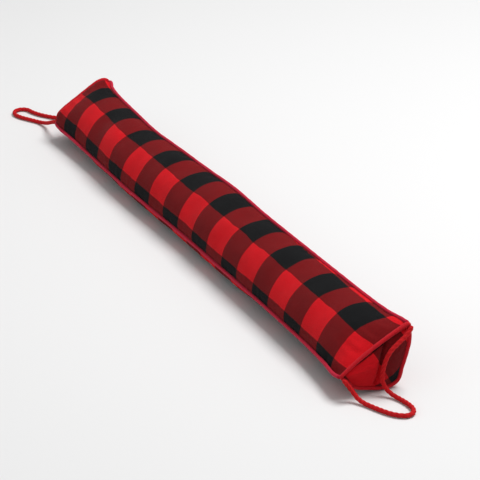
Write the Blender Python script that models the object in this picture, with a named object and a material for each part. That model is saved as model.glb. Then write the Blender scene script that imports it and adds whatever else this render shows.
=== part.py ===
"""A stuffed draught excluder for the foot of a door, in checked cloth with piped seams and two rope loops.

It lies on the floor along X, with its front seam at -Y and its near end at +X. Metres, +Z up.
The origin is the middle of the part's box without the ropes, at floor level.
"""

import math
from collections import namedtuple

import bmesh
import bpy
import numpy as np
from mathutils import Vector

# Driving sizes
MM = 0.001
LENGTH = 0.920
PIPING_DIAMETER = 0.0055
ROPE_DIAMETER = 0.006
GAP = 0.0003
DOME = 0.008
PANEL_EDGE = 0.0030

# The part lies with these ends
END_X = LENGTH / 2 - PIPING_DIAMETER / 2
SEAT = PIPING_DIAMETER / 2 + GAP

# One row for each measured place along the tube, in millimetres.
# front and back are the centres of the two long pipings, rise is how far the crowned face stands over
# the line between them, and belly moves the underside out. square is 0 where the crown is a round arc
# and 1 where it is boxy, and full is 0 at a sewn end and 1 where the tube is full.
Station = namedtuple("Station", "x front_y front_z back_y back_z rise belly square full")
STATIONS = [
    Station(-457.5, -41.2, 26.8, 41.4, 77.0, 8.5, 0.0, 1.0, 0.00),
    Station(-449.0, -45.3, 27.4, 43.4, 79.3, 18.0, 0.0, 1.0, 0.34),
    Station(-434.0, -45.7, 25.4, 39.1, 76.6, 19.6, 0.0, 0.5, 0.50),
    Station(-400.0, -44.1, 24.5, 35.0, 75.5, 21.6, 0.0, 0.1, 0.78),
    Station(-320.0, -42.8, 23.1, 31.9, 73.9, 24.8, 1.0, 0.0, 0.97),
    Station(-250.0, -43.6, 23.6, 29.8, 73.2, 25.5, 1.0, 0.0, 1.00),
    Station(-180.0, -43.7, 23.5, 31.6, 75.0, 25.5, 1.0, 0.0, 1.00),
    Station(-90.0, -40.2, 22.7, 33.0, 77.6, 25.5, 0.0, 0.0, 1.00),
    Station(0.0, -37.4, 22.6, 34.7, 80.7, 25.5, 0.0, 0.0, 1.00),
    Station(90.0, -36.9, 23.2, 34.6, 79.1, 25.5, 0.0, 0.0, 1.00),
    Station(180.0, -37.1, 24.3, 36.4, 78.2, 25.5, -2.5, 0.0, 1.00),
    Station(270.0, -37.5, 25.3, 38.5, 77.4, 25.5, -4.0, 0.0, 1.00),
    Station(350.0, -38.7, 25.5, 40.6, 76.7, 24.8, -3.0, 0.0, 0.97),
    Station(410.0, -42.3, 26.2, 42.1, 78.0, 20.7, -2.0, 0.0, 0.78),
    Station(440.0, -45.5, 26.0, 44.7, 80.5, 13.4, 0.0, 0.0, 0.45),
    Station(457.5, -45.2, 29.0, 45.8, 81.6, 3.5, 0.0, 0.0, 0.00),
]

# The rest of the section, from the back seam down and round to the front seam, in millimetres:
# where the cloth passes when the tube is full, and where the centre of the end piping passes.
Lower = namedtuple("Lower", "full_y full_z end_y end_z")
LOWER = [
    Lower(44.7, 61.2, 45.5, 59.7),
    Lower(47.7, 40.5, 41.3, 41.0),
    Lower(44.9, 19.0, 36.3, 24.0),
    Lower(37.9, 6.0, 33.9, 10.5),
    Lower(26.8, -0.6, 26.7, 5.0),
    Lower(8.3, -1.0, 13.8, 2.95),
    Lower(-9.7, -0.4, -2.7, 5.6),
    Lower(-23.2, 4.0, -19.2, 9.6),
    Lower(-32.2, 10.6, -29.1, 14.0),
    Lower(-36.7, 17.6, -36.3, 22.0),
]

# How much of the seams' shift sideways the underside follows, and which way the belly moves it, in
# full from BELLY_SPAN past the place across where it starts
LOWER_DRIFT = 0.5
BELLY_WAY = np.array([-0.723, -0.691])
BELLY_START = -5.0
BELLY_SPAN = 27.0

# How the cloth is drawn in at the pipings: over what distance, how much deeper than they sit, and
# how far a sharp corner may reach. The long pipings stop END_TILT short of the end ones.
SEAM_DIP = 8 * MM
BODY_CLEAR = 1.08
MITRE_LIMIT = 2.2
END_TILT = 0.8 * MM

# How finely the forms are cut, and how much closer together at the seams and the ends
FACE_POINTS = 15
LOWER_POINTS = 25
CLOSER_AT_SEAMS = 0.6
SLICES = 46
CLOSER_AT_ENDS = 0.35
PANEL_RINGS = 5
PANEL_INNER = 0.2
TUBE_SIDES = 8
SHARP_DEGREES = 50

# A dome's height falls from the middle to the rim as this power of the share left
DOME_POWER = 0.8

# Where each rope goes, in millimetres: from the piping at the front corner, over the floor and
# back, and up the end panel to the piping at the back corner.
ROPE_FLOOR = 3.15
NEAR_ROUTE = [
    (463.2, -44.5, 28.0),
    (464.8, -40.4, 23.0),
    (466.9, -36.4, 16.8),
    (470.2, -33.2, 11.2),
    (475.4, -30.8, 6.6),
    (483.0, -27.6, 4.0),
    (492.5, -23.4, ROPE_FLOOR),
    (506.4, -17.6, ROPE_FLOOR),
    (519.1, -11.1, ROPE_FLOOR),
    (528.5, -3.0, ROPE_FLOOR),
    (532.5, 6.0, ROPE_FLOOR),
    (528.6, 15.0, ROPE_FLOOR),
    (518.8, 19.4, ROPE_FLOOR),
    (505.9, 19.4, ROPE_FLOOR),
    (493.0, 16.8, ROPE_FLOOR + 0.2),
    (481.6, 12.4, 5.0),
    (473.6, 7.6, 11.0),
    (470.0, 4.8, 20.5),
    (469.2, 5.9, 32.8),
    (469.0, 9.7, 45.7),
    (468.8, 16.2, 56.1),
    (468.0, 26.2, 63.8),
    (466.5, 38.0, 71.4),
    (463.4, 47.4, 79.8),
]
FAR_ROUTE = [
    (-461.6, -41.0, 25.6),
    (-475.0, -39.6, 20.8),
    (-488.0, -38.8, 15.4),
    (-502.0, -38.8, 9.4),
    (-514.5, -40.2, 5.4),
    (-528.0, -44.4, ROPE_FLOOR),
    (-543.0, -53.4, ROPE_FLOOR),
    (-558.0, -61.6, ROPE_FLOOR),
    (-572.0, -64.8, ROPE_FLOOR),
    (-583.5, -60.4, ROPE_FLOOR),
    (-587.5, -50.0, ROPE_FLOOR),
    (-582.0, -41.0, ROPE_FLOOR),
    (-569.5, -37.6, ROPE_FLOOR),
    (-555.0, -31.4, ROPE_FLOOR),
    (-541.0, -22.0, ROPE_FLOOR),
    (-527.0, -10.0, ROPE_FLOOR),
    (-511.0, 0.6, ROPE_FLOOR),
    (-495.0, 7.0, ROPE_FLOOR + 0.2),
    (-482.0, 9.4, 5.2),
    (-473.6, 9.0, 11.8),
    (-470.0, 8.2, 21.5),
    (-469.2, 9.0, 33.0),
    (-469.0, 12.3, 45.0),
    (-468.6, 17.8, 56.0),
    (-466.8, 26.3, 66.0),
    (-463.4, 36.6, 73.6),
]
ROPE_STRANDS = 3
ROPE_PITCH = 0.020
ROPE_STEPS_A_TURN = 8

# One strand of the rope's section: where round it, in degrees, and how far out as a share
LOBE = [(-26, 1.0), (26, 1.0), (60, 0.76)]

CLOTH_RED = (0.42, 0.012, 0.016, 1)
PIPING_RED = (0.46, 0.016, 0.024, 1)
ROPE_RED = (0.50, 0.018, 0.022, 1)


def smooth(xs, vs, x):
    """A value at x, on a smooth curve through the points (xs, vs)."""
    x = min(max(x, xs[0]), xs[-1])
    i = max(j for j in range(len(xs) - 1) if xs[j] <= x)

    def slope(j):
        low, high = max(j - 1, 0), min(j + 1, len(xs) - 1)
        return (vs[high] - vs[low]) / (xs[high] - xs[low])

    step = xs[i + 1] - xs[i]
    t = (x - xs[i]) / step
    return (
        (2 * t**3 - 3 * t**2 + 1) * vs[i]
        + (t**3 - 2 * t**2 + t) * step * slope(i)
        + (3 * t**2 - 2 * t**3) * vs[i + 1]
        + (t**3 - t**2) * step * slope(i + 1)
    )


def station(x):
    """The station table read at x, in metres."""
    xs = [row.x for row in STATIONS]
    read = {}
    for name in Station._fields[1:]:
        read[name] = smooth(xs, [getattr(row, name) for row in STATIONS], x / MM)
    shares = {name: read.pop(name) for name in ("square", "full")}
    return Station(x=x, **shares, **{name: value * MM for name, value in read.items()})


def curve_through(points, step):
    """Points about step apart on a smooth curve through the given ones."""
    points = np.array(points, float)
    knots = np.r_[0, np.cumsum(np.linalg.norm(np.diff(points, axis=0), axis=1) ** 0.5)]
    fine = np.linspace(0, knots[-1], 24 * len(points))
    columns = [[smooth(list(knots), list(column), t) for t in fine] for column in points.T]
    line = np.array(columns).T
    return spaced(line, np.linspace(0, 1, max(3, round(length_of(line) / step) + 1)))


def length_of(line):
    return float(np.linalg.norm(np.diff(line, axis=0), axis=1).sum())


def eased(count, full):
    """From 0 to 1, in shorter steps towards both ends where the tube is full."""
    t = np.linspace(0, 1, count)
    return t - full * CLOSER_AT_SEAMS * np.sin(2 * math.pi * t) / (2 * math.pi)


def spaced(line, shares):
    """Points on the line at those shares of its length."""
    along = np.r_[0, np.cumsum(np.linalg.norm(np.diff(line, axis=0), axis=1))]
    at = along[-1] * np.asarray(shares)
    return np.stack([np.interp(at, along, line[:, k]) for k in range(line.shape[1])], axis=1)


def seams(x):
    """The centres of the front and back pipings at x."""
    s = station(x)
    return np.array([s.front_y, s.front_z]), np.array([s.back_y, s.back_z])


def face_line(x, count):
    """The crowned face at x, from the front piping's centre to the back one's."""
    s = station(x)
    front, back = seams(x)
    across = back - front
    chord = float(np.linalg.norm(across))
    across /= chord
    out = np.array([-across[1], across[0]])
    radius = (chord**2 / 4 + s.rise**2) / (2 * s.rise)
    half = math.asin(chord / 2 / radius)
    turn = half * (2 * eased(count, s.full) - 1)[:, None]
    middle = front + across * chord / 2 + out * (s.rise - radius)
    arc = middle + radius * (np.sin(turn) * across + np.cos(turn) * out)
    aside = 2 * radius * np.sin(turn) / chord
    return arc + out * s.rise * s.square * (aside**2 - aside**8)


def lower_line(x, count):
    """The rest of the section at x, from the back piping's centre down and round to the front one's."""
    s = station(x)
    front, back = seams(x)
    drift = LOWER_DRIFT * (front[0] + back[0]) / 2 * s.full
    points = [back]
    for row in LOWER:
        full = np.array([row.full_y * MM + drift, row.full_z * MM])
        low = min(1.0, max(0.0, (BELLY_START - row.full_y) / BELLY_SPAN))
        full += BELLY_WAY * s.belly * low
        points.append(np.array([row.end_y, row.end_z]) * MM * (1 - s.full) + full * s.full)
    return spaced(curve_through([*points, front], 1.5 * MM), eased(count, s.full))


def inset(points, distances):
    """A closed outline, each point moved in along the bisector of the sides that meet there."""
    along = np.roll(points, -1, axis=0) - points
    along /= np.linalg.norm(along, axis=1)[:, None]
    along = along + np.roll(along, 1, axis=0)
    size = np.linalg.norm(along, axis=1)
    inward = np.stack([along[:, 1], -along[:, 0]], axis=1) / size[:, None]
    mitre = np.minimum(2 / size, MITRE_LIMIT)
    return points + inward * (np.asarray(distances) * mitre)[:, None]


def outline(x):
    """The closed line at x through both pipings' centres, as (y, z) points."""
    return np.concatenate([face_line(x, FACE_POINTS)[:-1], lower_line(x, LOWER_POINTS)[:-1]])


def section(x):
    """The closed section at x as (y, z) points, from the front seam over the face and back underneath.

    It is drawn in by the piping's seat at the two long seams, and all round at a sewn end.
    """
    line = outline(x)
    nearest = np.min([np.linalg.norm(line - seam, axis=1) for seam in seams(x)], axis=0)
    held = 1 - station(x).full * (1 - np.exp(-((nearest / SEAM_DIP) ** 2)))
    line = inset(line, SEAT * BODY_CLEAR * held)
    line[:, 1] = np.maximum(line[:, 1], 0)
    return line


def material(name, colour, roughness):
    made = bpy.data.materials.new(name)
    made.use_nodes = True
    shader = made.node_tree.nodes["Principled BSDF"]
    shader.inputs["Base Color"].default_value = colour
    shader.inputs["Roughness"].default_value = roughness
    shader.inputs["Metallic"].default_value = 0.0
    return made


def solid(name, bm, finish):
    """A mesh object from bm, with its faces turned out."""
    bmesh.ops.recalc_face_normals(bm, faces=bm.faces)
    if bm.calc_volume(signed=True) < 0:
        bmesh.ops.reverse_faces(bm, faces=bm.faces)
    mesh = bpy.data.meshes.new(name)
    bm.to_mesh(mesh)
    bm.free()
    mesh.shade_smooth()
    mesh.set_sharp_from_angle(angle=math.radians(SHARP_DEGREES))
    made = bpy.data.objects.new(name, mesh)
    made.data.materials.append(finish)
    excluder.objects.link(made)
    return made


def loft(rings, close_ends=True, cyclic=False):
    """A skin over rings of the same number of points."""
    bm = bmesh.new()
    made = [[bm.verts.new(p) for p in ring] for ring in rings]
    pairs = list(zip(made, made[1:]))
    if cyclic:
        pairs.append((made[-1], made[0]))
    for one, other in pairs:
        for i in range(len(one)):
            j = (i + 1) % len(one)
            bm.faces.new((one[i], one[j], other[j], other[i]))
    if close_ends and not cyclic:
        bm.faces.new(made[0])
        bm.faces.new(made[-1])
    return bm


def slices():
    """Where the body is cut, closer together at the ends."""
    span = END_X - PANEL_EDGE - GAP
    even = np.linspace(-1, 1, SLICES + 1)
    return span * (CLOSER_AT_ENDS * np.sin(math.pi / 2 * even) + (1 - CLOSER_AT_ENDS) * even)


def make_body():
    rings = [[(x, y, z) for y, z in section(x)] for x in slices()]
    bm = loft(rings)
    bmesh.ops.triangulate(bm, faces=[f for f in bm.faces if len(f.verts) > 4])
    return solid("body", bm, cloth)


def make_end_panel(name, side):
    """A domed panel inside the end piping. side is 1 at the near end and -1 at the far one."""
    rim = section(side * END_X)
    middle = rim.mean(axis=0)
    rings = [[(side * (END_X - PANEL_EDGE), y, z) for y, z in rim]]
    for t in np.linspace(1, PANEL_INNER, PANEL_RINGS):
        out = END_X + DOME * (1 - t**2) ** DOME_POWER
        rings.append([(side * out, *(middle + (p - middle) * t)) for p in rim])
    bm = loft(rings)
    bmesh.ops.triangulate(bm, faces=[f for f in bm.faces if len(f.verts) > 4])
    return solid(name, bm, cloth)


def tube(name, points, diameter, finish, cyclic=False):
    """A round cord along the points, as a curve with filled caps."""
    curve = bpy.data.curves.new(name, "CURVE")
    curve.dimensions = "3D"
    curve.bevel_depth = diameter / 2
    curve.bevel_resolution = TUBE_SIDES // 4
    curve.use_fill_caps = not cyclic
    spline = curve.splines.new("POLY")
    spline.points.add(len(points) - 1)
    for place, p in zip(spline.points, points):
        place.co = (*p, 1)
    spline.use_cyclic_u = cyclic
    curve.materials.append(finish)
    made = bpy.data.objects.new(name, curve)
    excluder.objects.link(made)
    return made


def make_long_piping(name, which):
    span = END_X - SEAT - END_TILT
    places = [-span, *slices()[1:-1], span]
    points = [(x, *seams(x)[which]) for x in places]
    return tube(name, points, PIPING_DIAMETER, piping)


def make_end_piping(name, side):
    """A closed ring round the end panel."""
    points = [(side * END_X, y, z) for y, z in outline(side * END_X)]
    return tube(name, points, PIPING_DIAMETER, piping, cyclic=True)


def make_rope(name, route):
    """A rope of twisted strands along a smooth curve through the route."""
    line = curve_through(np.array(route) * MM, ROPE_PITCH / ROPE_STEPS_A_TURN)
    ahead = np.gradient(line, axis=0)
    side = Vector((0, 0, 1)).cross(Vector(ahead[0])).normalized()
    lobes = [(k * 360 / ROPE_STRANDS + angle, out) for k in range(ROPE_STRANDS) for angle, out in LOBE]
    rings = []
    for i, (p, d) in enumerate(zip(line, ahead)):
        d = Vector(d).normalized()
        side = (side - side.dot(d) * d).normalized()
        up = d.cross(side)
        ring = []
        for angle, out in lobes:
            a = math.radians(angle + 360 * i / ROPE_STEPS_A_TURN)
            ring.append(Vector(p) + out * ROPE_DIAMETER / 2 * (math.cos(a) * side + math.sin(a) * up))
        rings.append(ring)
    bm = loft(rings)
    bmesh.ops.triangulate(bm, faces=[f for f in bm.faces if len(f.verts) > 4])
    return solid(name, bm, rope)


for old in list(bpy.data.objects):
    bpy.data.objects.remove(old)
excluder = bpy.data.collections.new("draught_excluder")
bpy.context.scene.collection.children.link(excluder)

cloth = material("checked_cloth", CLOTH_RED, 0.85)
piping = material("red_piping", PIPING_RED, 0.75)
rope = material("red_rope", ROPE_RED, 0.7)

make_body()
make_end_panel("end_panel_near", 1)
make_end_panel("end_panel_far", -1)
make_long_piping("piping_front", 0)
make_long_piping("piping_back", 1)
make_end_piping("piping_end_near", 1)
make_end_piping("piping_end_far", -1)
make_rope("rope_loop_near", NEAR_ROUTE)
make_rope("rope_loop_far", FAR_ROUTE)
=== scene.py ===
"""The draught excluder's looks: checked cloth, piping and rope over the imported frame."""

import math
from collections import namedtuple

import bpy
import numpy as np
from mathutils import Matrix, Vector, noise


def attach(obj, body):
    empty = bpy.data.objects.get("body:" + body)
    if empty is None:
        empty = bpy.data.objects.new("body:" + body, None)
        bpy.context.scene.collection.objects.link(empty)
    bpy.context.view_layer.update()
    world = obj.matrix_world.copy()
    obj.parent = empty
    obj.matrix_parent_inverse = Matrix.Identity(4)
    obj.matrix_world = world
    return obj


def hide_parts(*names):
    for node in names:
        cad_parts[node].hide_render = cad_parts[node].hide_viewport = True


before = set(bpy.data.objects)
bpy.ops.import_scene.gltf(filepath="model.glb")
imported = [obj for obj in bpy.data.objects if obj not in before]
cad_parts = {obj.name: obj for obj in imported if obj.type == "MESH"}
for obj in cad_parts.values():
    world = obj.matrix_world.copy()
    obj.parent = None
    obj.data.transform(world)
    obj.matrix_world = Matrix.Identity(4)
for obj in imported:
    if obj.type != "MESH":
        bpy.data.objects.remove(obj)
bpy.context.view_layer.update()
scene = bpy.context.scene

MM = 0.001

# Driving sizes, as in the solids
END_X = 0.45725
PIPING_DIAMETER = 0.0055
ROPE_DIAMETER = 0.006
PANEL_EDGE = 0.003

# How far the cloth stays from the pipings' centres: they are pressed into it a little
PRESSED_IN = 0.0012
SEAT = PIPING_DIAMETER / 2 - PRESSED_IN

# The tube's section along X, in millimetres: the two long pipings' centres, how far the crowned face
# stands over the line between them, and how far the underside stands out. square is 0 where the crown
# is a round arc and 1 where it is boxy, and full is 0 at a sewn end and 1 where the tube is full.
# It is as in the solids, but for the rise at the far end, where the cloth lies lower behind its piping.
Station = namedtuple("Station", "x front_y front_z back_y back_z rise belly square full")
STATIONS = [
    Station(-457.5, -41.2, 26.8, 41.4, 77.0, 9.0, 0.0, 1.0, 0.00),
    Station(-449.0, -45.3, 27.4, 43.4, 79.3, 15.5, 0.0, 1.0, 0.34),
    Station(-434.0, -45.7, 25.4, 39.1, 76.6, 18.6, 0.0, 0.5, 0.50),
    Station(-400.0, -44.1, 24.5, 35.0, 75.5, 21.6, 0.0, 0.1, 0.78),
    Station(-320.0, -42.8, 23.1, 31.9, 73.9, 24.8, 1.0, 0.0, 0.97),
    Station(-250.0, -43.6, 23.6, 29.8, 73.2, 25.5, 1.0, 0.0, 1.00),
    Station(-180.0, -43.7, 23.5, 31.6, 75.0, 25.5, 1.0, 0.0, 1.00),
    Station(-90.0, -40.2, 22.7, 33.0, 77.6, 25.5, 0.0, 0.0, 1.00),
    Station(0.0, -37.4, 22.6, 34.7, 80.7, 25.5, 0.0, 0.0, 1.00),
    Station(90.0, -36.9, 23.2, 34.6, 79.1, 25.5, 0.0, 0.0, 1.00),
    Station(180.0, -37.1, 24.3, 36.4, 78.2, 25.5, -2.5, 0.0, 1.00),
    Station(270.0, -37.5, 25.3, 38.5, 77.4, 25.5, -4.0, 0.0, 1.00),
    Station(350.0, -38.7, 25.5, 40.6, 76.7, 24.8, -3.0, 0.0, 0.97),
    Station(410.0, -42.3, 26.2, 42.1, 78.0, 20.7, -2.0, 0.0, 0.78),
    Station(440.0, -45.5, 26.0, 44.7, 80.5, 13.4, 0.0, 0.0, 0.45),
    Station(457.5, -45.2, 29.0, 45.8, 81.6, 3.5, 0.0, 0.0, 0.00),
]

# The underside and back, from the back seam round to the front one, in millimetres: where the cloth
# passes when the tube is full, and where it passes at the ends. It is as in the solids, but for the
# back of the ends, which stands 1.2 to 1.5 mm further out.
Lower = namedtuple("Lower", "full_y full_z end_y end_z")
LOWER = [
    Lower(44.7, 61.2, 47.0, 59.7),
    Lower(47.7, 40.5, 42.8, 41.0),
    Lower(44.9, 19.0, 37.5, 24.0),
    Lower(37.9, 6.0, 33.9, 10.5),
    Lower(26.8, -0.6, 26.7, 5.0),
    Lower(8.3, -1.0, 13.8, 2.95),
    Lower(-9.7, -0.4, -2.7, 5.6),
    Lower(-23.2, 4.0, -19.2, 9.6),
    Lower(-32.2, 10.6, -29.1, 14.0),
    Lower(-36.7, 17.6, -36.3, 22.0),
]

# How much of the seams' shift sideways the underside follows. Then which way the belly moves it, from
# what place across, and over what span this comes in full, in millimetres.
LOWER_DRIFT = 0.5
BELLY_WAY = np.array([-0.723, -0.691])
BELLY_START = -5.0
BELLY_SPAN = 27.0

# Over what distance the cloth is drawn in at a piping, and how far a sharp corner may reach
SEAM_DIP = 5 * MM
MITRE_LIMIT = 1.2

# The two ropes' routes, in millimetres, as in the solids
ROPE_FLOOR = 3.15
NEAR_ROUTE = [
    (463.2, -44.5, 28.0),
    (464.8, -40.4, 23.0),
    (466.9, -36.4, 16.8),
    (470.2, -33.2, 11.2),
    (475.4, -30.8, 6.6),
    (483.0, -27.6, 4.0),
    (492.5, -23.4, ROPE_FLOOR),
    (506.4, -17.6, ROPE_FLOOR),
    (519.1, -11.1, ROPE_FLOOR),
    (528.5, -3.0, ROPE_FLOOR),
    (532.5, 6.0, ROPE_FLOOR),
    (528.6, 15.0, ROPE_FLOOR),
    (518.8, 19.4, ROPE_FLOOR),
    (505.9, 19.4, ROPE_FLOOR),
    (493.0, 16.8, ROPE_FLOOR + 0.2),
    (481.6, 12.4, 5.0),
    (473.6, 7.6, 11.0),
    (470.0, 4.8, 20.5),
    (469.2, 5.9, 32.8),
    (469.0, 9.7, 45.7),
    (468.8, 16.2, 56.1),
    (468.0, 26.2, 63.8),
    (466.5, 38.0, 71.4),
    (463.4, 47.4, 79.8),
]
FAR_ROUTE = [
    (-461.6, -41.0, 25.6),
    (-475.0, -39.6, 20.8),
    (-488.0, -38.8, 15.4),
    (-502.0, -38.8, 9.4),
    (-514.5, -40.2, 5.4),
    (-528.0, -44.4, ROPE_FLOOR),
    (-543.0, -53.4, ROPE_FLOOR),
    (-558.0, -61.6, ROPE_FLOOR),
    (-572.0, -64.8, ROPE_FLOOR),
    (-583.5, -60.4, ROPE_FLOOR),
    (-587.5, -50.0, ROPE_FLOOR),
    (-582.0, -41.0, ROPE_FLOOR),
    (-569.5, -37.6, ROPE_FLOOR),
    (-555.0, -31.4, ROPE_FLOOR),
    (-541.0, -22.0, ROPE_FLOOR),
    (-527.0, -10.0, ROPE_FLOOR),
    (-511.0, 0.6, ROPE_FLOOR),
    (-495.0, 7.0, ROPE_FLOOR + 0.2),
    (-482.0, 9.4, 5.2),
    (-473.6, 9.0, 11.8),
    (-470.0, 8.2, 21.5),
    (-469.2, 9.0, 33.0),
    (-469.0, 12.3, 45.0),
    (-468.6, 17.8, 56.0),
    (-466.8, 26.3, 66.0),
    (-463.4, 36.6, 73.6),
]

# The checks, in metres: how long and wide one is, where the first line along lies from the middle,
# and where the middle line across lies from the front seam, with its number and its drift
CHECK_ALONG = 0.04553
CHECK_ACROSS = 0.042
FIRST_LINE = -0.4383
MIDDLE_LINE = 0.0605
MIDDLE_NUMBER = 2
MIDDLE_DRIFT = -0.0085

# How far the checks behind and underneath lie off the face's, in checks along the tube and round it
UNDER_ALONG = 0.42
UNDER_ROUND = 1.35

# How far the front of the cloth is drawn along at the far end, over what length, and how quickly this
# fades towards the middle line
FAR_DRAWN = 0.020
FAR_REACH = 0.100
FAR_POWER = 1.3

# How far the whole face is gathered in at the far end, and over what length
FAR_GATHER = 0.021
FAR_GATHER_REACH = 0.030

# How much wider the checks behind the middle line lie midway along, over what length, and how
# suddenly this ends
BACK_STRETCH = 0.13
BACK_REACH = 0.28
BACK_POWER = 4


# Curves and sections

def smooth(xs, vs, x):
    """Rows of values at x, on a smooth curve through the rows vs at xs."""
    xs, vs, x = np.asarray(xs, float), np.asarray(vs, float), np.atleast_1d(x)
    rows = np.arange(len(xs))
    low, high = np.maximum(rows - 1, 0), np.minimum(rows + 1, len(xs) - 1)
    slopes = (vs[high] - vs[low]) / (xs[high] - xs[low])[:, None]
    x = np.clip(x, xs[0], xs[-1])
    i = np.clip(np.searchsorted(xs, x, side="right") - 1, 0, len(xs) - 2)
    step = (xs[i + 1] - xs[i])[:, None]
    t = (x - xs[i])[:, None] / step
    return (
        (2 * t**3 - 3 * t**2 + 1) * vs[i]
        + (t**3 - 2 * t**2 + t) * step * slopes[i]
        + (3 * t**2 - 2 * t**3) * vs[i + 1]
        + (t**3 - t**2) * step * slopes[i + 1]
    )


STATION_X = [row.x for row in STATIONS]
STATION_ROWS = [row[1:] for row in STATIONS]


def station(x):
    """The station table read at x, in metres."""
    *lengths, square, full = smooth(STATION_X, STATION_ROWS, x / MM)[0]
    return Station(x, *(v * MM for v in lengths), square, full)


def lengths_along(line):
    return np.r_[0, np.cumsum(np.linalg.norm(np.diff(line, axis=0), axis=1))]


def spaced(line, shares):
    """Points on the line at those shares of its length."""
    along = lengths_along(line)
    at = along[-1] * np.asarray(shares)
    return np.stack([np.interp(at, along, line[:, k]) for k in range(line.shape[1])], axis=1)


def curve_through(points, step):
    """Points about step apart on a smooth curve through the given ones."""
    points = np.asarray(points, float)
    knots = np.r_[0, np.cumsum(np.linalg.norm(np.diff(points, axis=0), axis=1) ** 0.5)]
    line = smooth(knots, points, np.linspace(0, knots[-1], 24 * len(points)))
    return spaced(line, np.linspace(0, 1, max(3, round(lengths_along(line)[-1] / step) + 1)))


def seams(x):
    """The centres of the front and back pipings at x."""
    s = station(x)
    return np.array([s.front_y, s.front_z]), np.array([s.back_y, s.back_z])


def face_line(x, count):
    """The crowned face at x, from the front piping's centre to the back one's."""
    s = station(x)
    front, back = seams(x)
    across = back - front
    chord = float(np.linalg.norm(across))
    across /= chord
    out = np.array([-across[1], across[0]])
    radius = (chord**2 / 4 + s.rise**2) / (2 * s.rise)
    half = math.asin(chord / 2 / radius)
    turn = np.linspace(-half, half, count)[:, None]
    middle = front + across * chord / 2 + out * (s.rise - radius)
    arc = middle + radius * (np.sin(turn) * across + np.cos(turn) * out)
    aside = 2 * radius * np.sin(turn) / chord
    return arc + out * s.rise * s.square * (aside**2 - aside**8)


def lower_line(x, count):
    """The rest of the section at x, from the back piping's centre down and round to the front one's."""
    s = station(x)
    front, back = seams(x)
    drift = LOWER_DRIFT * (front[0] + back[0]) / 2 * s.full
    points = [back]
    for row in LOWER:
        full = np.array([row.full_y * MM + drift, row.full_z * MM])
        low = min(1.0, max(0.0, (BELLY_START - row.full_y) / BELLY_SPAN))
        full += BELLY_WAY * s.belly * low
        points.append(np.array([row.end_y, row.end_z]) * MM * (1 - s.full) + full * s.full)
    return spaced(curve_through([*points, front], 1.0 * MM), np.linspace(0, 1, count))


def outline(x, face_points, lower_points):
    """The closed line at x through both pipings' centres, as (y, z) points."""
    face = face_line(x, face_points + 1)[:-1]
    return np.concatenate([face, lower_line(x, lower_points + 1)[:-1]])


def inset(points, distances):
    """A closed outline, each point moved in along the bisector of the sides that meet there."""
    along = np.roll(points, -1, axis=0) - points
    along /= np.linalg.norm(along, axis=1)[:, None]
    along = along + np.roll(along, 1, axis=0)
    size = np.linalg.norm(along, axis=1)
    inward = np.stack([along[:, 1], -along[:, 0]], axis=1) / size[:, None]
    return points + inward * (distances * np.minimum(2 / size, MITRE_LIMIT))[:, None]


def near(distance, reach):
    """1 at no distance, falling smoothly to nothing past the reach."""
    return np.exp(-((distance / reach) ** 2))


def at_x(x, places):
    """Places in the section as points at x."""
    return np.column_stack([np.full(len(places), x), places])


# Meshes

def grid_mesh(name, grid, uv=None, caps=True):
    """A mesh over closed rows of points. uv gives each face corner's place, as from corners."""
    rows, columns = grid.shape[:2]
    here = np.arange(rows * columns).reshape(rows, columns)
    there = np.roll(here, -1, axis=1)
    quads = np.stack([here[:-1], there[:-1], there[1:], here[1:]], axis=-1).reshape(-1, 4)
    faces = quads.tolist()
    if caps:
        faces += [here[0][::-1].tolist(), here[-1].tolist()]
    mesh = bpy.data.meshes.new(name)
    mesh.from_pydata(grid.reshape(-1, 3).tolist(), [], faces)
    if uv is not None:
        layer = mesh.uv_layers.new(name="cloth")
        flat = np.zeros((len(mesh.loops), 2))
        flat[: quads.size] = uv.reshape(-1, 2)
        layer.data.foreach_set("uv", flat.ravel())
    mesh.validate()
    mesh.shade_smooth()
    made = bpy.data.objects.new(name, mesh)
    scene.collection.objects.link(made)
    return made


def corners(start, end):
    """A value for each face corner, from its values where each column starts and ends."""
    return np.stack([start[:-1], end[:-1], end[1:], start[1:]], axis=2)


def face_out(piece):
    """Turns a closed mesh's faces outwards if they all point inwards."""
    mesh = piece.data
    volume = 0.0
    for polygon in mesh.polygons:
        volume += polygon.center.dot(polygon.normal) * polygon.area
    if volume < 0:
        mesh.flip_normals()


def put_in_place(piece, node, material):
    """Turns a piece's faces out, gives it its material, hangs it on the root and hides the solid it stands
    for.
    """
    face_out(piece)
    piece.data.materials.append(material)
    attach(piece, "root")
    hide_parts(node)


def grid_normals(grid):
    """Outward directions of a grid whose rows are closed and run along X."""
    along = np.gradient(grid, axis=0)
    across = np.roll(grid, -1, axis=1) - np.roll(grid, 1, axis=1)
    normals = np.cross(across, along)
    normals /= np.maximum(np.linalg.norm(normals, axis=2), 1e-12)[..., None]
    middle = grid.mean(axis=1, keepdims=True)
    if ((grid - middle) * normals).sum() < 0:
        normals = -normals
    return normals


# What brings the noise to about 1 at its highest
NOISE_GAIN = 1.6


def ripple(a, b, seed):
    """A smooth random height from -1 to 1, the same each run."""
    flat = [noise.noise(Vector((p, q, seed))) for p, q in zip(np.ravel(a), np.ravel(b))]
    return np.array(flat).reshape(np.shape(a)) * NOISE_GAIN


# Materials

BRIGHT_RED = (0.65, 0.0068, 0.0130, 1)
MIXED_RED = (0.174, 0.0045, 0.0062, 1)
BLACK = (0.0056, 0.0058, 0.0066, 1)
# The long pipings' red is the same cloth as the end pipings', made pinker as painted sheen
PIPING_RED_PAINTED_SHEEN = (0.49, 0.009, 0.036, 1)
END_PIPING_RED = (0.50, 0.009, 0.017, 1)
ROPE_RED = (0.50, 0.0085, 0.0115, 1)

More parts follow.
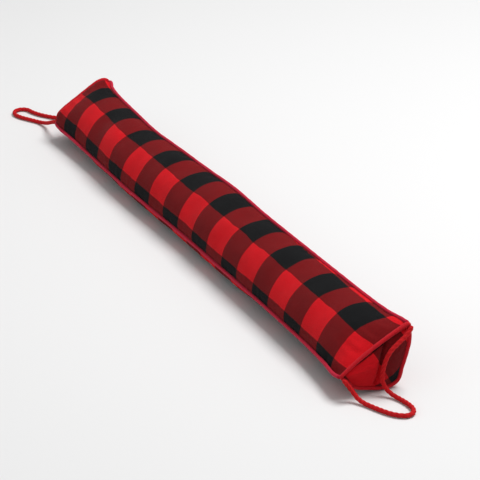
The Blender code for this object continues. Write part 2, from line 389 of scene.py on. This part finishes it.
# Noise in the materials: how fine it is, its detail, and how much of it is used
Grain = namedtuple("Grain", "scale detail amount")
LINE_WANDER = Grain(60.0, 2.0, 0.035)
LINE_PULL = Grain(20.0, 2.0, 0.13)
CLOTH_FUZZ = Grain(900.0, 3.0, 0.62)
CLOTH_PATCH = Grain(35.0, 3.0, 0.36)
CORD_FUZZ = Grain(1200.0, 3.0, 0.85)

# Relief in the materials: its height in metres, and how much of it shows
Relief = namedtuple("Relief", "height strength")
WEAVE_RELIEF = Relief(0.00018, 0.7)
FUZZ_RELIEF = Relief(0.0007, 0.5)
PATCH_RELIEF = Relief(0.0015, 0.5)
CORD_RELIEF = Relief(0.0003, 0.6)

# The weave: threads in a check, how sharply one yarn gives way to the other, how much the twill's
# slant shows everywhere and how much more where the yarns mix, and the tone that fuzz adds to
THREADS_A_CHECK = 64
YARN_EDGE = 24.0
TWILL_ALL = 0.07
TWILL_MIXED = 0.22
CLOTH_TONE = 0.51
CLOTH_FINISH = {
    "Roughness": 0.86,
    "Sheen Weight": 0.030,
    "Sheen Roughness": 0.5,
    "Specular IOR Level": 0.06,
}

# Painted shade: the end panels' cloth has its tone multiplied by less than 1 to darken it, while the long
# cloth keeps its full tone
LONG_PAINTED_SHADE_TONE = 1.0
END_PAINTED_SHADE_TONE = 0.84

# Cords: winding is how fast the slanted fibres go round, in radians for each metre
Cord = namedtuple("Cord", "name colour winding roughness sheen")
ROPE_LOOK = Cord("twisted_rope", ROPE_RED, 900.0, 0.75, 0.03)
# The long pipings' colour holds painted sheen: a pinker tint than the end pipings' cloth
PIPING_LOOK_PAINTED_SHEEN = Cord("red_piping_cloth_painted_sheen", PIPING_RED_PAINTED_SHEEN, 2600.0, 0.8, 0.16)
END_PIPING_LOOK = Cord("end_piping_cloth", END_PIPING_RED, 2600.0, 0.8, 0.10)
FIBRES_ROUND = 6
FIBRE_TONE = 0.13
FIBRE_HEIGHT = 0.4
CORD_TONE = 0.55
CORD_SHEEN_TINT = (1.0, 0.55, 0.65, 1)
CORD_SPECULAR = 0.1


class Nodes:
    """A short way to write a material's nodes."""

    def __init__(self, name):
        self.material = bpy.data.materials.new(name)
        self.material.use_nodes = True
        self.tree = self.material.node_tree
        self.shader = self.tree.nodes["Principled BSDF"]

    def add(self, kind, inputs=(), **settings):
        made = self.tree.nodes.new(kind)
        for key, value in settings.items():
            setattr(made, key, value)
        for key, value in dict(inputs).items():
            self.put(made.inputs[key], value)
        return made

    def put(self, socket, value):
        if isinstance(value, bpy.types.NodeSocket):
            self.tree.links.new(value, socket)
        else:
            socket.default_value = value

    def math(self, operation, a, b=0.0, clamp=False):
        return self.add("ShaderNodeMath", {0: a, 1: b}, operation=operation, use_clamp=clamp).outputs[0]

    def wave(self, place, radians):
        return self.math("SINE", self.math("MULTIPLY", place, radians))

    def mix(self, share, a, b, blend="MIX"):
        made = self.add("ShaderNodeMix", {0: share, 6: a, 7: b}, data_type="RGBA", blend_type=blend)
        return made.outputs[2]

    def noise(self, vector, grain):
        inputs = {"Vector": vector, "Scale": grain.scale, "Detail": grain.detail}
        return self.add("ShaderNodeTexNoise", inputs).outputs["Fac"]

    def bump(self, height, relief, normal=None):
        inputs = {"Height": height, "Distance": relief.height, "Strength": relief.strength}
        if normal is not None:
            inputs["Normal"] = normal
        return self.add("ShaderNodeBump", inputs).outputs[0]

    def cloth_place(self):
        """The mesh's own map, as its two parts."""
        place = self.add("ShaderNodeUVMap", uv_map="cloth").outputs[0]
        parts = self.add("ShaderNodeSeparateXYZ", {0: place}).outputs
        return parts[0], parts[1]

    def object_place(self):
        return self.add("ShaderNodeTexCoord").outputs["Object"]

    def colour_by(self, colour, tone):
        """Makes the surface this colour, darker or lighter by the tone."""
        grey = self.add("ShaderNodeCombineColor", {0: tone, 1: tone, 2: tone}).outputs[0]
        self.put(self.shader.inputs["Base Color"], self.mix(1.0, colour, grey, blend="MULTIPLY"))

    def finish(self, values):
        for key, value in values.items():
            self.shader.inputs[key].default_value = value


def check_material(name, painted_shade_tone):
    """Brushed cloth in a check of two yarns: red over red, black over black, and mixed between.

    The last argument multiplies the cloth's tone as painted shade: 1 leaves it as it is, and less darkens
    it.
    """
    n = Nodes(name)
    axes = n.cloth_place()
    object_place = n.object_place()
    off_line = []
    for grain in (LINE_WANDER, LINE_PULL):
        centred = n.math("SUBTRACT", n.noise(object_place, grain), 0.5)
        off_line.append(n.math("MULTIPLY", centred, grain.amount))
    wander = n.math("ADD", *off_line)
    yarns = []
    for axis in axes:
        wave = n.wave(n.math("ADD", axis, wander), math.pi)
        yarns.append(n.math("ADD", n.math("MULTIPLY", wave, -YARN_EDGE), 0.5, clamp=True))
    both = n.math("MULTIPLY", *yarns)
    either = n.math("MAXIMUM", *yarns)
    colour = n.mix(both, n.mix(either, BLACK, MIXED_RED), BRIGHT_RED)

    twill = n.wave(n.math("ADD", *axes), math.pi * THREADS_A_CHECK)
    mixed = n.math("SUBTRACT", either, both)
    twill_share = n.math("ADD", n.math("MULTIPLY", mixed, TWILL_MIXED), TWILL_ALL)
    fuzz = n.noise(object_place, CLOTH_FUZZ)
    patch = n.noise(object_place, CLOTH_PATCH)
    uneven = n.math("MULTIPLY", fuzz, CLOTH_FUZZ.amount)
    uneven = n.math("ADD", uneven, n.math("MULTIPLY", patch, CLOTH_PATCH.amount))
    slanted = n.math("ADD", n.math("MULTIPLY", twill, twill_share), CLOTH_TONE)
    # The tone is multiplied by the painted shade factor, which darkens the end panels' cloth
    n.colour_by(colour, n.math("MULTIPLY", n.math("ADD", uneven, slanted), painted_shade_tone))

    threads = [n.wave(axis, 2 * math.pi * THREADS_A_CHECK) for axis in axes]
    weave = n.math("MULTIPLY", n.math("ADD", *threads), 0.5)
    fine = n.bump(weave, WEAVE_RELIEF)
    soft = n.bump(fuzz, FUZZ_RELIEF, fine)
    n.put(n.shader.inputs["Normal"], n.bump(patch, PATCH_RELIEF, soft))
    n.finish(CLOTH_FINISH)
    return n.material


def cord_material(cord):
    """Cloth or yarn wound at a slant round a cord. The map's u runs round it and v along it, in metres."""
    n = Nodes(cord.name)
    round_it, along_it = n.cloth_place()
    turned = n.math("MULTIPLY", round_it, 2 * math.pi * FIBRES_ROUND)
    fibre = n.math("SINE", n.math("ADD", turned, n.math("MULTIPLY", along_it, cord.winding)))
    fuzz = n.noise(n.object_place(), CORD_FUZZ)
    tone = n.math("MULTIPLY", fibre, FIBRE_TONE)
    tone = n.math("ADD", tone, n.math("MULTIPLY", fuzz, CORD_FUZZ.amount))
    n.colour_by(cord.colour, n.math("ADD", tone, CORD_TONE))
    height = n.math("ADD", n.math("MULTIPLY", fibre, FIBRE_HEIGHT), fuzz)
    n.put(n.shader.inputs["Normal"], n.bump(height, CORD_RELIEF))
    n.finish({
        "Roughness": cord.roughness,
        "Sheen Weight": cord.sheen,
        "Sheen Tint": CORD_SHEEN_TINT,
        "Specular IOR Level": CORD_SPECULAR,
    })
    return n.material


# Camera and light

CAMERA_PLACE = Vector((2.78075, -1.28516, 1.39209))
CAMERA_AZIMUTH = math.radians(-25.50882)
CAMERA_ELEVATION = math.radians(24.23876)
LENS_MM = 187.6
SENSOR_MM = 36
CLIP_END = 30

WORLD_LIGHT = 0.43
Light = namedtuple("Light", "name place size watts")
LIGHTS = [
    Light("key", (0.2, 1.15, 2.9), 1.7, 92),
    Light("fill", (0.6, -2.8, 1.6), 2.2, 5),
]

# The floor's half width, how far it lies under the part, and how pale it is
FLOOR_REACH = 9
FLOOR_BELOW = 0.0003
FLOOR_COLOUR = (0.74, 0.74, 0.74, 1)
FLOOR_ROUGHNESS = 0.9


def make_camera():
    """A level camera at the photo's place and angle."""
    data = bpy.data.cameras.new("camera")
    data.lens = LENS_MM
    data.sensor_fit = "HORIZONTAL"
    data.sensor_width = SENSOR_MM
    data.clip_end = CLIP_END
    flat = math.cos(CAMERA_ELEVATION)
    back = Vector((
        flat * math.cos(CAMERA_AZIMUTH),
        flat * math.sin(CAMERA_AZIMUTH),
        math.sin(CAMERA_ELEVATION),
    ))
    right = Vector((0, 0, 1)).cross(back).normalized()
    turn = Matrix((right, back.cross(right), back)).transposed().to_4x4()
    made = bpy.data.objects.new("camera", data)
    made.matrix_world = Matrix.Translation(CAMERA_PLACE) @ turn
    scene.collection.objects.link(made)
    scene.camera = made


def make_light(light):
    """A round lamp that faces the part's middle."""
    data = bpy.data.lights.new(light.name, "AREA")
    data.shape = "DISK"
    data.size = light.size
    data.energy = light.watts
    made = bpy.data.objects.new(light.name, data)
    made.location = light.place
    made.rotation_euler = (-Vector(light.place)).to_track_quat("-Z", "Y").to_euler()
    scene.collection.objects.link(made)


def make_stage():
    """A pale floor, an even white surround and two soft lights."""
    square = [(-1, -1), (1, -1), (1, 1), (-1, 1)]
    mesh = bpy.data.meshes.new("floor")
    mesh.from_pydata([(FLOOR_REACH * x, FLOOR_REACH * y, 0) for x, y in square], [], [(0, 1, 2, 3)])
    made = bpy.data.objects.new("floor", mesh)
    scene.collection.objects.link(made)
    n = Nodes("pale_floor")
    n.finish({"Base Color": FLOOR_COLOUR, "Roughness": FLOOR_ROUGHNESS})
    made.data.materials.append(n.material)
    made.location.z = -FLOOR_BELOW
    world = bpy.data.worlds.new("studio")
    world.use_nodes = True
    background = world.node_tree.nodes["Background"].inputs
    background["Color"].default_value = (1, 1, 1, 1)
    background["Strength"].default_value = WORLD_LIGHT
    scene.world = world
    for light in LIGHTS:
        make_light(light)
    scene.view_settings.view_transform = "Standard"
    scene.view_settings.look = "None"


# Cords

def side_directions(line):
    """Unit directions to the side and up along a line, turning as little as it allows."""
    ahead = np.gradient(line, axis=0)
    ahead /= np.linalg.norm(ahead, axis=1)[:, None]
    side = np.cross((0, 0, 1), line[1] - line[0])
    sides = []
    for d in ahead:
        side = side - side.dot(d) * d
        side /= np.linalg.norm(side)
        sides.append(side)
    sides = np.array(sides)
    return sides, np.cross(ahead, sides)


def tube_grid(line, sides, ups, radius, angle):
    """Rows of points round a line. radius and angle have a row for each point of it."""
    turned = np.cos(angle)[..., None] * sides[:, None] + np.sin(angle)[..., None] * ups[:, None]
    return line[:, None] + radius[..., None] * turned


def tube_places(along, columns):
    """Where each corner of a tube's faces lies: u once round it, v along it in metres."""
    start = np.arange(columns) / columns
    end = (np.arange(columns) + 1) / columns
    starts = np.stack(np.broadcast_arrays(start, along[:, None]), axis=-1)
    ends = np.stack(np.broadcast_arrays(end, along[:, None]), axis=-1)
    return corners(starts, ends)


# The rope's strands: how many, how long one turn is, and how far out each lies and how thick it is
# as shares of the rope's radius
STRANDS = 3
ROPE_PITCH = 0.020
STRAND_OFF = 0.31
STRAND_RADIUS = 0.69
ROPE_SIDES = 24
ROPE_STEPS_A_TURN = 22

# How small the rounded tip of a rope is, as the square of its share of the radius
ROPE_TIP = 0.3


def strand_edge(angle):
    """How far out a rope's edge is at an angle, as a share of its radius: round strands side by side."""
    span = 2 * math.pi / STRANDS
    a = (angle + span / 2) % span - span / 2
    return STRAND_OFF * np.cos(a) + np.sqrt(STRAND_RADIUS**2 - (STRAND_OFF * np.sin(a)) ** 2)


def make_rope(name, route, node, material):
    """A rope of twisted strands along its route, as a free cord sewn in at both ends."""
    line = curve_through(np.array(route) * MM, ROPE_PITCH / ROPE_STEPS_A_TURN)
    along = lengths_along(line)
    sides, ups = side_directions(line)
    around = np.linspace(0, 2 * math.pi, ROPE_SIDES, endpoint=False)
    twist = 2 * math.pi * along / ROPE_PITCH
    to_end = np.minimum(along, along[-1] - along) / (ROPE_DIAMETER / 2)
    drawn_in = np.sqrt(np.clip(1 - (1 - np.clip(to_end, 0, 1)) ** 2, ROPE_TIP, 1))
    radius = ROPE_DIAMETER / 2 * drawn_in[:, None] * strand_edge(around)
    grid = tube_grid(line, sides, ups, radius, around + twist[:, None])
    piece = grid_mesh(name, grid, tube_places(along, ROPE_SIDES))
    put_in_place(piece, node, material)


# The pipings: how finely they are cut, and how uneven they are, as a share, over what length, with
# the seed. The long ones stop short of the ends.
TUBE_SIDES = 14
PIPING_UNEVEN = 0.07
PIPING_LUMP = 0.009
PIPING_SEED = 4.4
LONG_POINTS = 420
LONG_END = END_X - 0.003

# How much of a piping stands out of its seam: the long ones, and the end ones at front and back
LONG_SHOWN = 0.86
RING_SHOWN = (0.78, 1.08)
RING_SIDES = (-0.045, 0.045)

# How finely an end's outline is cut
END_FACE_POINTS = 59
END_LOWER_POINTS = 101

# How much higher the far end's piping stands along the face, and round which of the outline's points
FAR_RING_LIFT = 2.8 * MM
LIFT_POINTS = (0, 5, 59, 68)
LIFT_SHARES = (0, 1, 1, 0)


def make_piping(name, node, line, material, shown, closed=False):
    """A round covered cord along the line, slightly uneven. shown is how much of it stands out."""
    if closed:
        along = lengths_along(np.concatenate([line, line[:1]]))
        ahead = np.roll(line, -1, axis=0) - np.roll(line, 1, axis=0)
        ahead /= np.linalg.norm(ahead, axis=1)[:, None]
        sides = np.broadcast_to(np.array([1.0, 0, 0]), ahead.shape)
        ups = np.cross(ahead, sides)
    else:
        along = lengths_along(line)
        sides, ups = side_directions(line)
    places = along[: len(line)]
    around = np.linspace(0, 2 * math.pi, TUBE_SIDES, endpoint=False)
    lumps = ripple(places / PIPING_LUMP, places * 0, PIPING_SEED)
    radius = PIPING_DIAMETER / 2 * (shown * (1 + PIPING_UNEVEN * lumps))
    grid = tube_grid(line, sides, ups, radius[:, None], around[None, :])
    if closed:
        grid = np.concatenate([grid, grid[:1]])
    piece = grid_mesh(name, grid, tube_places(along, TUBE_SIDES), caps=not closed)
    put_in_place(piece, node, material)


def end_ring(side):
    """The closed line of the end piping's centre, with its two corners eased."""
    line = outline(side * END_X, END_FACE_POINTS, END_LOWER_POINTS)
    if side < 0:
        line[:, 1] += FAR_RING_LIFT * np.interp(np.arange(len(line)), LIFT_POINTS, LIFT_SHARES)
    for _ in range(3):
        line = (np.roll(line, 1, axis=0) + 2 * line + np.roll(line, -1, axis=0)) / 4
    return at_x(side * END_X, line)


# The long cloth

BODY_ROWS = 453
FACE_POINTS = 58
LOWER_POINTS = 102
BODY_END = END_X - 0.0029
CLOSER_AT_ENDS = 0.20

# Ripples in the cloth: how long they are one way and the other in metres, how high in millimetres,
# and their seed. The first way is along the tube, but round it for the gathers at the sewn ends.
Ripple = namedtuple("Ripple", "one_way other_way height seed")
BROAD_SWELL = Ripple(0.075, 0.050, 1.1, 3.1)
SMALL_SWELL = Ripple(0.030, 0.045, 0.55, 7.7)
SEAM_PUCKER = Ripple(0.0065, 0.030, 0.80, 11.3)
END_GATHER = Ripple(0.0085, 0.060, 1.3, 5.9)

# How far from a seam the swells start, and how far the puckers reach from it and leave it plain.
# PUCKER_FULL says how soon along the tube the puckers are in full.
SWELL_START = 0.012
PUCKER_REACH = 0.013
PUCKER_START = 0.003
PUCKER_FULL = 1.5

# How far the gathers reach from a sewn end, and how far they leave it plain
GATHER_REACH = 0.030
GATHER_START = 0.006

# The lowest that the cloth lies
FLOOR_GAP = 0.0002

CROWN_SMOOTHING = 15


def body_places():
    """Where the long cloth is cut, closer together at the ends."""
    t = np.linspace(-1, 1, BODY_ROWS)
    return BODY_END * ((1 - CLOSER_AT_ENDS) * t + CLOSER_AT_ENDS * np.sin(math.pi / 2 * t))


def make_body(material):
    """The long cloth as one closed form, with each face corner's place on the checks."""
    xs = body_places()
    outlines = np.array([outline(x, FACE_POINTS, LOWER_POINTS) for x in xs])
    around = np.linalg.norm(np.roll(outlines, -1, axis=1) - outlines, axis=2)
    ring = np.concatenate([np.zeros((len(xs), 1)), np.cumsum(around, axis=1)], axis=1)
    grid = np.empty((*outlines.shape[:2], 3))
    grid[..., 0] = xs[:, None]
    grid[..., 1:] = [held_section(x, line) for x, line in zip(xs, outlines)]
    grid = wrinkle(grid, ring)
    piece = grid_mesh("body_cloth", grid, check_places(grid, ring))
    put_in_place(piece, "body", material)


def held_section(x, line):
    """The section at x, drawn in at the two long seams, and all round at a sewn end."""
    nearest = np.min([np.linalg.norm(line - seam, axis=1) for seam in seams(x)], axis=0)
    held = 1 - station(x).full * (1 - near(nearest, SEAM_DIP))
    return inset(line, SEAT * held)


def check_places(grid, ring):
    """Each face corner's place on the checks: u along the tube and v round it, counted in checks."""
    xs = grid[:, 0, 0]
    face_length = ring[:, [FACE_POINTS]]
    on_face = np.arange(grid.shape[1]) < FACE_POINTS

    crown_point = np.argmin(np.abs(ring[:, :-1] - MIDDLE_LINE), axis=1)
    crown = grid[np.arange(len(xs)), crown_point]
    along = lengths_along(np.stack([crown[:, 0], evened(crown[:, 2], CROWN_SMOOTHING)], axis=1))
    from_middle = along - np.interp(0.0, xs, along)
    from_far_end = xs + END_X
    gather = FAR_GATHER * near(from_far_end, FAR_GATHER_REACH)
    drawn = (FAR_DRAWN * np.exp(-from_far_end / FAR_REACH))[:, None]
    line_along = (from_middle - FIRST_LINE)[:, None] / CHECK_ALONG
    line_along = line_along + np.where(on_face, -gather[:, None] / CHECK_ALONG, UNDER_ALONG)
    middle = (MIDDLE_LINE + MIDDLE_DRIFT * xs)[:, None]
    stretch = (1 + BACK_STRETCH * np.exp(-((xs / BACK_REACH) ** BACK_POWER)))[:, None]

    def place(from_front):
        off = np.where(on_face, np.clip(1 - from_front / middle, 0, 1), 0.0) ** FAR_POWER
        face = (from_front - middle) / CHECK_ACROSS
        face = np.where(face > 0, face / stretch, face) + MIDDLE_NUMBER
        under = (from_front - face_length) / CHECK_ACROSS + UNDER_ROUND
        u = line_along - drawn * off / CHECK_ALONG
        return np.stack([u, np.where(on_face, face, under)], axis=-1)

    return corners(place(ring[:, :-1]), place(ring[:, 1:]))


def evened(values, width):
    """A running mean that keeps the ends."""
    padded = np.pad(values, width // 2, mode="edge")
    return np.convolve(padded, np.ones(width) / width, mode="valid")


def ripples(a, b, kind):
    """A smooth random height over places a and b, in metres."""
    return ripple(a / kind.one_way, b / kind.other_way, kind.seed) * kind.height * MM


def wrinkle(grid, ring):
    """Soft hollows over the whole cloth, small gathers along the seams, and gathers at the sewn ends."""
    x = grid[..., 0]
    full = np.array([station(row).full for row in x[:, 0]])[:, None]
    from_front = ring[:, :-1]
    to_front = np.minimum(from_front, ring[:, -1:] - from_front)
    to_seam = np.minimum(to_front, np.abs(from_front - ring[:, [FACE_POINTS]]))
    swell = ripples(x, from_front, BROAD_SWELL) + ripples(x, from_front, SMALL_SWELL)
    seam = near(to_seam, PUCKER_REACH) * (1 - near(to_seam, PUCKER_START))
    pucker = ripples(x, to_seam, SEAM_PUCKER) * seam
    to_end = BODY_END - np.abs(x)
    gather = ripples(from_front, x, END_GATHER)
    gather *= near(to_end, GATHER_REACH) * (1 - near(to_end, GATHER_START))
    open_cloth = (1 - near(to_seam, SWELL_START)) * np.clip(full, 0, 1)
    height = swell * open_cloth + pucker * np.clip(full * PUCKER_FULL, 0, 1) + gather
    moved = grid + grid_normals(grid) * height[..., None]
    moved += simulated_folds(grid, to_seam)
    moved[..., 0] = x
    moved[..., 2] = np.maximum(moved[..., 2], FLOOR_GAP)
    return moved


# The cloth simulation: every how many rows and columns of the cloth it takes, how many frames it
# runs, and how much larger the cloth is than its form
SIM_STEP = 2
SIM_FRAMES = 20
SIM_SLACK = 0.022
CLOTH_SETTINGS = {
    "quality": 6,
    "mass": 0.25,
    "tension_stiffness": 18,
    "compression_stiffness": 18,
    "shear_stiffness": 6,
    "bending_stiffness": 0.35,
    "use_pressure": True,
    "uniform_pressure_force": 4.0,
    "shrink_min": -SIM_SLACK,
    "shrink_max": -SIM_SLACK,
    "vertex_group_mass": "held",
}

# What is pinned: how close to a seam, how many rows at each end, and up to what height at the foot
SEAM_HOLD = 4 * MM
END_ROWS_HELD = 2
FOOT_HELD = 0.6 * MM

# The folds that are kept: their largest, over how many rows the slow change is measured, their share,
# how often they are softened, and over what length they fade at the ends
FOLD_LIMIT = 4.0 * MM
FOLD_SPREAD = 16
FOLD_SHARE = 0.8
FOLD_SOFTENING = 9
END_FADE = 0.035


def simulated_folds(grid, to_seam):
    """How far the slack cloth settles from its plain form, from a cloth simulation.

    The seams, the sewn ends and the foot are pinned, the cloth is a little larger than its form, and
    the filling presses from inside. Only the folds are kept: the slow change along the tube is taken out.
    """
    coarse = grid[::SIM_STEP, ::SIM_STEP]
    piece = grid_mesh("cloth_at_work", coarse)
    face_out(piece)
    pinned = to_seam[::SIM_STEP, ::SIM_STEP] < SEAM_HOLD
    pinned[:END_ROWS_HELD] = True
    pinned[-END_ROWS_HELD:] = True
    pinned |= coarse[..., 2] < FOOT_HELD
    group = piece.vertex_groups.new(name="held")
    group.add(np.flatnonzero(pinned).tolist(), 1.0, "REPLACE")
    cloth = piece.modifiers.new("cloth", "CLOTH").settings
    for key, value in CLOTH_SETTINGS.items():
        setattr(cloth, key, value)
    cloth.effector_weights.gravity = 0
    for number in range(1, SIM_FRAMES + 1):
        scene.frame_set(number)
    settled = piece.evaluated_get(bpy.context.evaluated_depsgraph_get())
    places = np.empty(coarse.size, np.float32)
    settled.data.vertices.foreach_get("co", places)
    scene.frame_set(1)
    bpy.data.objects.remove(piece)
    moved = places.reshape(coarse.shape).astype(float) - coarse
    from_end = BODY_END - np.abs(coarse[..., :1])
    moved = soften(moved - slow_change(moved)) * (1 - near(from_end, END_FADE)) * FOLD_SHARE
    size = np.linalg.norm(moved, axis=2, keepdims=True)
    moved *= np.minimum(1, FOLD_LIMIT / np.maximum(size, 1e-9))
    return finer(moved, grid.shape[0], grid.shape[1])


def slow_change(field):
    """The part of a field that changes slowly from row to row."""
    reach = 3 * FOLD_SPREAD
    weights = np.exp(-0.5 * (np.arange(-reach, reach + 1) / FOLD_SPREAD) ** 2)
    weights /= weights.sum()
    padded = np.pad(field, ((reach, reach), (0, 0), (0, 0)), mode="edge")
    return sum(w * padded[k : k + len(field)] for k, w in enumerate(weights))


def soften(field):
    """A field without its finest ripples. Its rows are closed."""
    for _ in range(FOLD_SOFTENING):
        field = (np.roll(field, 1, axis=1) + 2 * field + np.roll(field, -1, axis=1)) / 4
        along = np.pad(field, ((1, 1), (0, 0), (0, 0)), mode="edge")
        field = (along[:-2] + 2 * along[1:-1] + along[2:]) / 4
    return field


def finer(field, rows, columns):
    """A coarse field brought to the fine grid, evenly between its points. Its rows are closed."""
    wrapped = np.concatenate([field, field[:, :1]], axis=1)
    at_row = np.arange(rows) / SIM_STEP
    at_column = np.arange(columns) / SIM_STEP
    r = np.minimum(at_row.astype(int), field.shape[0] - 2)
    c = at_column.astype(int)
    past_row = (at_row - r)[:, None, None]
    past_column = (at_column - c)[None, :, None]
    top = wrapped[r][:, c] * (1 - past_column) + wrapped[r][:, c + 1] * past_column
    low = wrapped[r + 1][:, c] * (1 - past_column) + wrapped[r + 1][:, c + 1] * past_column
    return top * (1 - past_row) + low * past_row


# The end panels: how many rings they have and how small the last is, how far they stay in from their
# piping, how high they stand and how the height falls to the rim, and how full they are
PANEL_RINGS = 40
PANEL_INNER = 0.02
PANEL_GAP = 0.0001
PANEL_DOME = 0.0078
DOME_POWER = 0.8

# Where the panel's checks start in the section, in metres, and how far they lean, in degrees
PANEL_ORIGIN = (0.0178, 0.0171)
PANEL_LEAN = 30.0

# Soft creases towards the panel's rim: how many there are for each radian and from middle to rim,
# their height and seed, and how steeply they end at the rim
CREASES_ROUND = 4.2
CREASES_OUT = 2.5
CREASE_HEIGHT = 0.9 * MM
CREASE_SEED = 2.3
CREASE_FADE = 6

# A fold that runs down each end panel beside the rope: places in the section, in millimetres, its
# depth and width, and how steeply it ends at the rim
FOLD_LINE = [(14.0, 62.0), (8.6, 50.0), (5.6, 40.0), (4.0, 31.0), (2.4, 22.0), (0.4, 12.0)]
FOLD_DEPTH = 4.5 * MM
FOLD_WIDTH = 2.4 * MM
FOLD_FADE = 5


def make_end_panel(name, node, side, material):
    """The domed cloth inside the end piping, with its own lie of the checks."""
    rim = inset(outline(side * END_X, END_FACE_POINTS, END_LOWER_POINTS), SEAT + PANEL_GAP)
    middle = rim.mean(axis=0)
    rings = [at_x(side * (END_X - PANEL_EDGE), rim)]
    for t in np.linspace(1, PANEL_INNER, PANEL_RINGS):
        out = END_X + PANEL_DOME * (1 - t**2) ** DOME_POWER
        rings.append(at_x(side * out, middle + (rim - middle) * t))
    grid = np.array(rings)
    away = grid[..., 1:] - middle
    turn = np.arctan2(away[..., 1], away[..., 0])
    share = np.linalg.norm(away, axis=2) / np.linalg.norm(away[:1], axis=2)
    crease = CREASE_HEIGHT * ripple(turn * CREASES_ROUND, share * CREASES_OUT, CREASE_SEED + side)
    crease *= share**2 * np.clip((1 - share) * CREASE_FADE, 0, 1)
    fold_line = curve_through(np.array(FOLD_LINE) * MM, 0.8 * MM)
    to_fold = np.linalg.norm(grid[:, :, None, 1:] - fold_line, axis=3).min(axis=2)
    fold = FOLD_DEPTH * near(to_fold, FOLD_WIDTH) * np.clip((1 - share) * FOLD_FADE, 0, 1)
    grid[..., 0] += side * (crease - fold)

    y, z = np.moveaxis((grid[..., 1:] - PANEL_ORIGIN) / CHECK_ACROSS, -1, 0)
    lean = math.radians(PANEL_LEAN)
    u = y * math.cos(lean) + z * math.sin(lean)
    v = y * math.sin(lean) - z * math.cos(lean)
    place = np.stack([u, v], axis=-1)
    piece = grid_mesh(name, grid, corners(place, np.roll(place, -1, axis=1)))
    put_in_place(piece, node, material)


make_camera()
make_stage()

rope_red = cord_material(ROPE_LOOK)
make_rope("rope_near", NEAR_ROUTE, "rope_loop_near", rope_red)
make_rope("rope_far", FAR_ROUTE, "rope_loop_far", rope_red)

make_body(check_material("checked_cloth", LONG_PAINTED_SHADE_TONE))
# The end panels' cloth has painted shade: its tone is darker than the long cloth's
end_cloth_painted_shade = check_material("checked_end_cloth_painted_shade", END_PAINTED_SHADE_TONE)
make_end_panel("panel_near", "end_panel_near", 1, end_cloth_painted_shade)
make_end_panel("panel_far", "end_panel_far", -1, end_cloth_painted_shade)

# The long pipings' material has painted sheen in its pinker colour
piping_red_painted_sheen = cord_material(PIPING_LOOK_PAINTED_SHEEN)
for which, edge in enumerate(("front", "back")):
    seam_line = [(x, *seams(x)[which]) for x in np.linspace(-LONG_END, LONG_END, LONG_POINTS)]
    make_piping(f"piping_{edge}_cloth", f"piping_{edge}", np.array(seam_line), piping_red_painted_sheen, LONG_SHOWN)

end_piping_red = cord_material(END_PIPING_LOOK)
for side, end in ((1, "near"), (-1, "far")):
    ring_line = end_ring(side)
    shown = np.interp(ring_line[:, 1], RING_SIDES, RING_SHOWN)
    make_piping(f"piping_{end}_cloth", f"piping_end_{end}", ring_line, end_piping_red, shown, closed=True)
